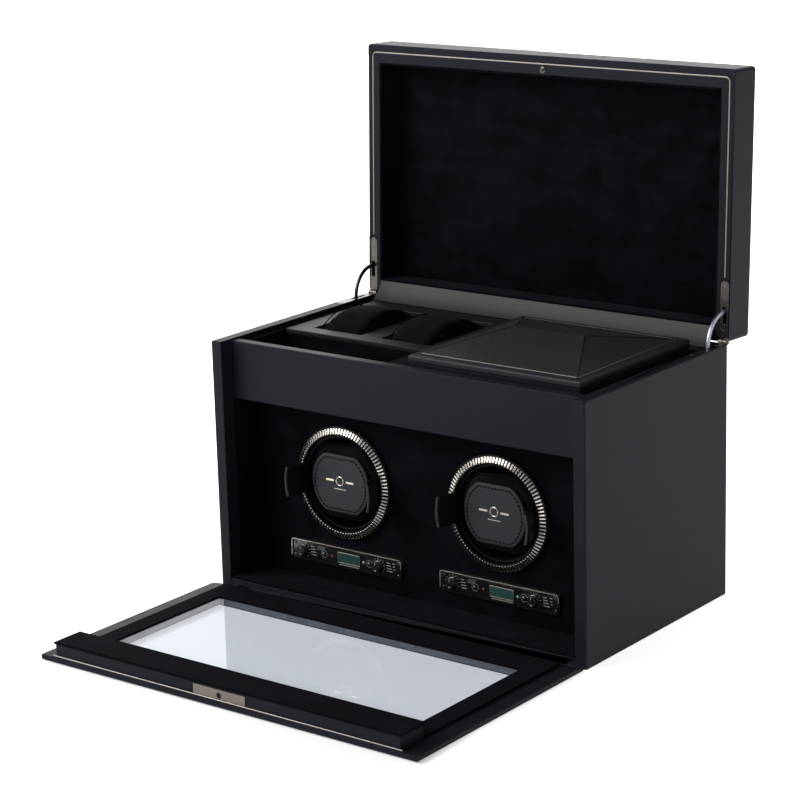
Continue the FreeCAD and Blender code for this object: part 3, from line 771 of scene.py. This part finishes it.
def stitch_shape(s):
    """Short thread stitches in a line inside the patch's edge."""
    steps, stitches = 720, 48
    line = []
    for k in range(steps):
        a = math.tau * k / steps
        r = cut_circle(a, *PATCH) - 3.25
        line.append((r * math.cos(a), r * math.sin(a)))
    line.append(line[0])
    lengths = [0.0]
    for p, q in zip(line, line[1:]):
        lengths.append(lengths[-1] + math.dist(p, q))
    pitch = lengths[-1] / stitches

    def along(d):
        """The point of the line at the distance d from its start."""
        d %= lengths[-1]
        k = next(i for i in range(steps) if lengths[i + 1] >= d)
        t = (d - lengths[k]) / (lengths[k + 1] - lengths[k])
        p, q = line[k], line[k + 1]
        return p[0] + (q[0] - p[0]) * t, p[1] + (q[1] - p[1]) * t

    parts = []
    for k in range(stitches):
        points = []
        for t, y in ((-0.27, 31.6), (-0.2, 31.15), (0.0, 31.05), (0.2, 31.15), (0.27, 31.6)):
            u, w = along((k + 0.5 + t) * pitch)
            points.append(on_unit(s, u, y, w))
        parts.append(tube(points, 0.6 * MM, 6))
    return joined(parts)


def motif_shape(s):
    """A plain foil ring between two short bars over a thin line, pressed into the patch."""
    x, z = s * UNIT_X, UNIT_Z
    parts = [tube(circle(x, 31.1, z + 2.5, 3.6, 40), 0.5 * MM, 6, closed=True)]
    for u0, u1, w0, w1 in ((-14.0, -6.2, 1.7, 3.3), (6.2, 14.0, 1.7, 3.3), (-6.0, 6.0, -4.4, -3.9)):
        parts.append(slab((x + u0, x + u1), (30.85, 31.3), (z + w0, z + w1), bevel=0.1))
    return joined(parts)


def wing_edges(s):
    """The leather turned over the front edges of a drum's two grip wings; the bead's rounding catches real light, and
    its lighter leather colour is a painted highlight on top.
    """
    parts = []
    for middle in (0.0, math.pi):
        turns = [middle + math.radians(-16.6 + 33.2 * k / 16) for k in range(17)]
        parts.append(tube([around(s, 42.65, a, 14.05) for a in turns], 1.15 * MM, 8))
    return joined(parts)


def cuffs():
    bore, front, half = 36.5, 33.4, 31.2  # limits of a cuff's foam: radius, foremost y, half the height
    for s, side in SIDES:
        def keep(p, s=s):
            """Keeps the foam inside the drum and behind the patch."""
            x, z = p.x / MM - s * UNIT_X, p.z / MM - UNIT_Z
            r = math.hypot(x, z)
            if r > bore:
                x, z = x * bore / r, z * bore / r
            y = p.y / MM + DEPTH / 2
            return on_unit(s, x, max(y, front), max(-half, min(half, z)))
        cushion("cuff_pillow_" + side, *cuff_shape(s), "cushion", "cuff_" + side, "cushion", "cuff_" + side, 1.6,
                0.85, keep)
        turns = [math.tau * k / 120 for k in range(120)]
        seam = [around(s, cut_circle(a, *CUFF) * 0.985 + 0.35, a, 37.2) for a in turns]
        piece("cuff_seam_" + side, *tube(seam, 0.55 * MM, 8, closed=True), "cushion", "cuff_" + side, "cushion")
        piece("patch_leather_" + side, *patch_shape(s), "patch", "cuff_" + side, "leather", "cuff_patch_" + side)
        piece("patch_stitches_" + side, *stitch_shape(s), "thread", "cuff_" + side, "leather")
        piece("patch_motif_" + side, *motif_shape(s), "foil", "cuff_" + side, "brass")
        # The wing edges take the lighter lining leather as a painted highlight on their rounded fronts.
        piece("wing_edges_" + side, *wing_edges(s), "lining", "rotor_" + side, "leather")


def plate_marks(s):
    """The printed ticks, dashes and rings of one control plate."""
    x0, y, marks = s * UNIT_X, 35.9, []

    def dash(u0, u1, w0, w1):
        marks.append(slab((x0 + u0, x0 + u1), (35.85, 36.05), (PLATE_Z + w0, PLATE_Z + w1), bevel=0))

    for u in KNOBS:
        for k in range(11):
            a = math.radians(225 - 27 * k)
            c, d = math.cos(a), math.sin(a)
            tick = [at(x0 + u + c * r, y, PLATE_Z + d * r) for r in (5.5, 6.9)]
            marks.append(tube(tick, 0.22 * MM, 4))
    for u in (-37.0, 41.5):
        for k in range(4):
            dash(u + k * 0.2, u + 3.6 + k * 0.9, 3.9 - 2.3 * k, 4.5 - 2.3 * k)
    for k in range(5):
        hatch = [at(x0 + u + k * 1.5, y, PLATE_Z + w) for u, w in ((-30.5, 2.5), (-28.0, 6.2))]
        marks.append(tube(hatch, 0.25 * MM, 4))
    for u in BUTTONS:
        marks.append(tube(circle(x0 + u, y, PLATE_Z, 3.1, 28), 0.18 * MM, 4, closed=True))
    for k in range(3):
        dash(47.5 + 0.6 * k, 50.3, 4.2 - 2.6 * k, 4.8 - 2.6 * k)
    dash(-7.5, 13.0, -6.3, -5.7)
    return joined(marks)


def plate_trim(s):
    """The bright bevel along a control plate's top edge, turned down a little way at its ends; the longer turn at the
    left end is a painted highlight, for the reflection on the plate's left corner.
    """
    half, top, corner = 56.75, 8.75, 3.0
    profile = [(0.45, 37.9), (0.45, 35.2), (0.1, 34.7), (-0.5, 34.7), (-1.0, 35.3), (-1.0, 36.05)]
    outline = [(half - corner, 1.5, 1.0, 0.0)]  # a corner's centre, and the direction out from it
    for way, start in ((1, 0), (-1, 90)):
        for k in range(7):
            a = math.radians(start + 15 * k)
            outline.append((way * (half - corner), top - corner, math.cos(a), math.sin(a)))
    # The left end runs further down as a painted highlight: the reflection on the glossy plate's left corner.
    outline.append((corner - half, -5.5, -1.0, 0.0))
    verts = []
    for u, w, c, d in outline:
        for grow, y in profile:
            verts.append(at(s * UNIT_X + u + (corner + grow) * c, y, PLATE_Z + w + (corner + grow) * d))
    return verts, skin(len(outline), len(profile))


def controls():
    dress("control_plates", "black_gloss", 0.25)
    piece("plate_trims", *joined([plate_trim(s) for s, _ in SIDES]), "trim", "case", "steel")
    piece("plate_marks", *joined([plate_marks(s) for s, _ in SIDES]), "print", "case", "black_gloss")
    heads, windows, frames = [], [], []
    for s, _ in SIDES:
        for k, (u, w) in enumerate([(u, w) for u in (-53.4, 53.4) for w in (-5.4, 5.4)]):
            x, z = s * UNIT_X + u, PLATE_Z + w
            heads.append(screw_head(lambda a, b, c, x=x, z=z: at(x + a, 36.0 + b, z + c), 1.4, 0.55, 0.4 + k * 0.9))
        x, z = s * UNIT_X + 2.7, PLATE_Z
        windows.append(slab((x - 10.8, x + 10.8), (35.9, 37.9), (z - 4.0, z + 4.0), bevel=0.3))
        for w, y in (((4.0, 4.5), 35.55), ((-4.9, -4.0), 35.45)):
            frames.append(slab((x - 11.3, x + 11.3), (y, 36.1), (z + w[0], z + w[1]), bevel=0.12))
        for u in ((-11.3, -10.8), (10.8, 11.3)):
            frames.append(slab((x + u[0], x + u[1]), (35.6, 36.1), (z - 4.6, z + 4.4), bevel=0.12))
    piece("plate_screw_heads", *joined(heads), "screw", "case", "steel", "plate_screws")
    piece("display_panes", *joined(windows), "lcd", "case", "lcd", "lcd_windows")
    piece("display_frames", *joined(frames), "trim", "case", "steel")

    lens = [(0.0, 35.4), (0.5, 35.45), (0.95, 35.65), (1.15, 35.95), (1.15, 37.5), (0.0, 37.5)]
    for node, look, u in (("lamps_red", "red", -15.0), ("lamps_green", "green", 17.8)):
        lenses = joined([turned(lens, s * UNIT_X + u, PLATE_Z, 24) for s, _ in SIDES])
        piece(node + "_lens", *lenses, look, "case", look, node)

    grip = [(0.0, 31.75), (2.9, 31.7), (3.2, 31.45), (3.7, 31.45), (4.05, 31.8), (4.15, 32.4), (4.15, 34.6),
            (4.6, 34.9), (4.6, 35.8), (2.0, 35.85), (2.0, 38.0), (0.0, 38.0)]
    flutes = lambda a, j: 0.16 * math.cos(a * 22) if j in (5, 6) else 0.0
    cap = [(0.0, 34.4), (0.9, 34.45), (1.5, 34.7), (1.85, 35.2), (1.85, 38.2), (2.5, 38.2), (2.5, 39.2), (0.0, 39.2)]
    for s, side in SIDES:
        for letter, u in zip("ab", KNOBS):
            x, name = s * UNIT_X + u, "knob_" + letter + "_" + side
            piece(name + "_grip", *turned(grip, x, PLATE_Z, 132, wave=flutes), "knob", name, "black_gloss", name)
            piece(name + "_line", *slab((x - 0.3, x + 0.3), (31.3, 31.7), (32.6, 35.0), bevel=0.1), "print", name,
                  "black_gloss")
        for letter, u in zip("ab", BUTTONS):
            x, name = s * UNIT_X + u, "button_" + letter + "_" + side
            piece(name + "_cap", *turned(cap, x, PLATE_Z, 32), "screw", name, "steel", name)


def winder_units():
    bars = joined([knurled_ring(s) for s, _ in SIDES])
    piece("bezel_bars", *bars, "ring_metal", "case", "ring_metal", "bezel_rings", sharp=22)
    # The bezel's black core is painted shade, between the bars and round the ring.
    piece("bezel_cores_painted_shade", *joined([ring_core_painted_shade(s) for s, _ in SIDES]), "black_matte", "case", "black_matte")
    for s, side in SIDES:
        dress("drum_" + side, "black_matte", 0.4, cuts=[("x", s * UNIT_X)])
    cuffs()
    controls()


# ---------------------------------------------------------------- lid
def rounded_path(corners, radius, place):
    """Points along straight runs with rounded corners; the first and last points are kept."""
    steps = 6
    points = [Vector(corners[0])]
    for before, corner, after in zip(corners, corners[1:], corners[2:]):
        corner = Vector(corner)
        a = corner + (Vector(before) - corner).normalized() * radius
        b = corner + (Vector(after) - corner).normalized() * radius
        for k in range(steps + 1):
            t = k / steps
            points.append(a * (1 - t) ** 2 + corner * 2 * t * (1 - t) + b * t * t)
    points.append(Vector(corners[-1]))
    return [place(*p) for p in points]


def lid_pieces():
    dress("lid_shell", "leather", 0.6, cuts=[("x", 0.0), ("x", LEAF_X), ("x", -LEAF_X)])
    x, y, walls = (-166.4, 166.4), (8.5, 197.0), (209.9, 233.9)
    parts = [pad((-166.5, 166.5), (10.0, 195.5), (232.3, 233.9), "-z", on_lid, edge=2.5, crown=0.5, step=5.0)]
    for span_x, span_y, out in (((-168, -166.4), y, "+x"), ((166.4, 168), y, "-x"),
                                (x, (8.5, 10.1), "+y"), (x, (195.4, 197.0), "-y")):
        parts.append(pad(span_x, span_y, walls, out, on_lid, edge=1.0, crown=0.1))
    piece("lid_suede", *joined(parts), "suede", "lid", "suede", "lid_lining")
    corners = [(x, y, 209.8) for x, y in ((175.0, 157.0), (175.0, -0.3), (-175.0, -0.3), (-175.0, 157.0))]
    piece("lid_bead", *tube(rounded_path(corners, 4.0, on_lid), 0.68 * MM, 8), "piping", "lid", "piping",
          "lid_piping")
    dress("lid_hinge_leaves", "hinge", 0.2, slot="gunmetal")
    dress("lid_hinge_pins", "hinge", 0.15, slot="gunmetal")
    leaf_screws("lid_leaf_screws", "lid", on_lid, 209.6, 1, 0.3, (164.8, 174.5, 201.0))
    stud = [(0.0, -1.45), (0.8, -1.41), (1.15, -1.1), (1.2, -0.3), (2.3, -0.25), (2.8, 0.05), (2.8, 1.4), (0.0, 1.4)]
    front = lambda x, y, z: on_lid(x, 4.7 + z, 209.4 + y)
    piece("catch_stud", *turned(stud, 0, 0, 40, front), "hinge", "lid", "gunmetal", "lid_catch_pin")
    for _, side in SIDES:
        # Both stays are the same metal; the left is painted dark as shade, the right painted light as lit.
        dress("stay_" + side, "stay_painted_shade" if side == "left" else "stay_painted_light", 0.3, slot="gunmetal")


def hinge_lining():
    """The leather strip that bridges the case and the lid. The real strip folds as the lid shuts; here it is drawn as
    it lies with the lid open.
    """
    a, c, b = Vector((197.0, 205.8)), Vector((203.9, 210.4)), Vector((208.9, 220.7))
    line = [a * (1 - t) ** 2 + c * 2 * t * (1 - t) + b * t * t for t in [k / 16 for k in range(17)]]
    outline = line + [p + Vector((0.9, -0.5)) for p in line[::-1]]
    xs = [-167.0, -166.6, -165.5] + [-165.5 + 331.0 * k / 40 for k in range(1, 40)] + [165.5, 166.6, 167.0]
    thinner = {0: 0.35, 1: 0.8}  # by place from either end
    n, verts = len(outline), []
    for k, x in enumerate(xs):
        share = thinner.get(min(k, len(xs) - 1 - k), 1.0)
        for j, p in enumerate(outline):
            middle = (p + outline[n - 1 - j]) / 2
            q = middle + (p - middle) * share
            verts.append(at(x, q.x, q.y))
    obj = piece("hinge_lining", verts, skin(len(xs), n), "lining", None, "leather")
    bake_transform(obj)


# ---------------------------------------------------------------- door
def door_pieces():
    dress("door_board", "leather", 0.6, cuts=[("x", 0.0)])
    dress("door_frame", "suede", 0.7, cuts=[("x", 0.0)])
    piece("door_block_leather", *slab((-165.8, 165.8), (-210.1, -182.7), (5.2, 16.6), bevel=0.9), "leather", "door",
          "leather", "door_block")
    piece("door_block_suede", *pad((-166.8, 166.8), (-210.9, -182.2), (16.3, 18.0), "+z", edge=1.0, crown=0.15),
          "suede", "door", "suede")
    finish_node("door_glass", "glass")
    thick = (1.4, 6.3)  # the pane's lower and upper face
    # The strips round the pane are painted reflection: the ends light blue-grey for the floor mirrored in the glass's
    # edges, the long sides darker for the case's shade mirrored there.
    ends = [slab(x, (-160.8, -40.7), thick, bevel=0) for x in ((-148.2, -147.9), (147.9, 148.2))]
    piece("door_glass_ends", *joined(ends), "pane_edge", "door", "glass")
    long_sides = [slab((-147.9, 147.9), y, thick, bevel=0) for y in ((-41.0, -40.7), (-160.8, -160.5))]
    piece("door_glass_sides", *joined(long_sides), "pane_back", "door", "glass")
    path = [at(-168 + 336 * k / 40, -210.85, 6.7) for k in range(41)]
    piece("door_bead", *tube(path, 0.5 * MM, 8), "piping", "door", "piping", "door_piping")
    dress("door_catch_plate", "gunmetal", 0.2)
    dress("door_hinge_pins", "steel", 0.15)


# ---------------------------------------------------------------- tray
def storage_pillow(side, x):
    y0, y1, half, shoulder = 94.2, 168.8, 19.6, 203.2
    arch = []
    for k in range(25):
        t = k / 24
        arch.append((y0 + (y1 - y0) * t, shoulder + 12.6 * (1 - abs(2 * t - 1) ** 2.3)))
    outline = arch + [(y1, 167.0), (y0, 167.0)]
    across = (-half, -half * 0.5, 0.0, half * 0.5, half)
    verts = []
    for u in across:
        dish = 0.8 * (1 - (u / half) ** 2)
        for y, z in outline:
            verts.append(at(x + u, y, z + (dish if z >= shoulder else 0)))
    body = "storage_pillow_" + side
    cushion("pillow_suede_" + side, verts, skin(len(across), len(outline)), "cushion", body, "cushion", body, 1.3,
            0.75, voxel=3.0)
    seams = []
    for u in (-half - 0.55, half + 0.55):
        seams.append(tube([at(x + u, y, z - 0.1) for y, z in arch], 0.5 * MM, 8))
    piece("pillow_seams_" + side, *joined(seams), "cushion", body, "cushion")


def travel_case():
    (x0, x1), (y0, y1), floor = TRAVEL_X, TRAVEL_Y, 170.1
    dress("travel_case_body", "leather", 0.9, cuts=[("x", sum(TRAVEL_X) / 2)])
    parts = [pad((x0 + 4.2, x1 - 4.2), (y0 + 4.2, y1 - 4.2), (floor - 0.8, floor), "+z", edge=0.8, crown=0.1)]
    long_x, long_y = (x0 + 4.7, x1 - 4.7), (y0 + 4.1, y1 - 4.1)
    for span_x, span_y, out in (((x0 + 4, x0 + 4.7), long_y, "+x"), ((x1 - 4.7, x1 - 4), long_y, "-x"),
                                (long_x, (y0 + 4, y0 + 4.7), "+y"), (long_x, (y1 - 4.7, y1 - 4), "-y")):
        parts.append(pad(span_x, span_y, (floor, 207.0), out, edge=0.6, crown=0.05))
    piece("travel_case_suede", *joined(parts), "suede", "travel_case", "suede")


def travel_lid():
    """A leather band, a hipped roof with a welt round its foot and seams on its hips, and a lining underneath."""
    (x0, x1), (y0, y1), bottom, top = TRAVEL_X, TRAVEL_Y, 208.9, 214.0
    verts, faces = slab(TRAVEL_X, TRAVEL_Y, (bottom, top), place=lambda *p: Vector(p), bevel=0)
    bm = bmesh.new()
    made = [bm.verts.new(v) for v in verts]
    for f in faces:
        bm.faces.new([made[i] for i in f])
    for level, width, segments in ((top, 1.9, 4), (bottom, 0.5, 2)):
        edges = [e for e in bm.edges if all(abs(v.co.z - level) < 0.1 for v in e.verts)]
        bmesh.ops.bevel(bm, geom=edges, offset=width, segments=segments, profile=0.5, affect="EDGES")
    # The band takes the lighter patch leather as painted light, brightening a front that otherwise mirrors the dark
    # lid.
    piece("travel_lid_band", *taken(bm), "patch", "travel_lid", "leather")

    left, right, near, far = x0 + 7.4, x1 - 7.4, y0 + 8.4, y1 - 8.4
    xm, ym, foot, peak, half_ridge = (left + right) / 2, (near + far) / 2, 214.7, 226.8, 33
    corners = [(left, near), (right, near), (right, far), (left, far)]
    bm = bmesh.new()
    base = [bm.verts.new((*corner, 213.8)) for corner in corners]
    eave = [bm.verts.new((*corner, foot)) for corner in corners]
    ridge = [bm.verts.new((xm - half_ridge, ym, peak)), bm.verts.new((xm + half_ridge, ym, peak))]
    for k in range(4):
        bm.faces.new([base[k], base[(k + 1) % 4], eave[(k + 1) % 4], eave[k]])
    bm.faces.new(base[::-1])
    bm.faces.new([eave[0], eave[1], ridge[1], ridge[0]])
    bm.faces.new([eave[1], eave[2], ridge[1]])
    bm.faces.new([eave[2], eave[3], ridge[0], ridge[1]])
    bm.faces.new([eave[3], eave[0], ridge[0]])
    edges = [e for e in bm.edges if all(v.co.z > foot - 0.6 for v in e.verts)]
    bmesh.ops.bevel(bm, geom=edges, offset=0.7, segments=3, profile=0.5, affect="EDGES")
    piece("travel_lid_roof", *taken(bm), "pebble", "travel_lid", "pebble", "travel_case_lid")

    run = [(xm, near - 0.3), (right + 0.3, near - 0.3), (right + 0.3, far + 0.3), (left - 0.3, far + 0.3),
           (left - 0.3, near - 0.3), (xm - 0.01, near - 0.3)]
    # The welt bead catches real light; its light leather is a painted highlight on top.
    welt = rounded_path([(*p, 214.2) for p in run], 1.5, at)
    piece("travel_lid_welt", *tube(welt, 0.7 * MM, 8, closed=True), "welt", "travel_lid", "leather")
    seams = []
    for x, y in corners:
        a, b = Vector((x, y, foot)), Vector((xm + math.copysign(half_ridge, x - xm), ym, peak))
        seams.append(tube([at(*(a + (b - a) * t)) for t in (0.02, 0.25, 0.5, 0.75, 0.985)], 0.34 * MM, 8))
    piece("travel_lid_hips", *joined(seams), "thread", "travel_lid", "leather")
    under = pad((x0 + 3, x1 - 3), (y0 + 3, y1 - 3), (208.2, 208.95), "-z", edge=0.7, crown=0.1)
    piece("travel_lid_suede", *under, "suede", "travel_lid", "suede")


def build():
    studio()
    case_pieces()
    inner_works()
    winder_units()
    lid_pieces()
    hinge_lining()
    door_pieces()
    for (_, side), x in zip(SIDES, PILLOWS):
        storage_pillow(side, x)
    travel_case()
    travel_lid()


build()
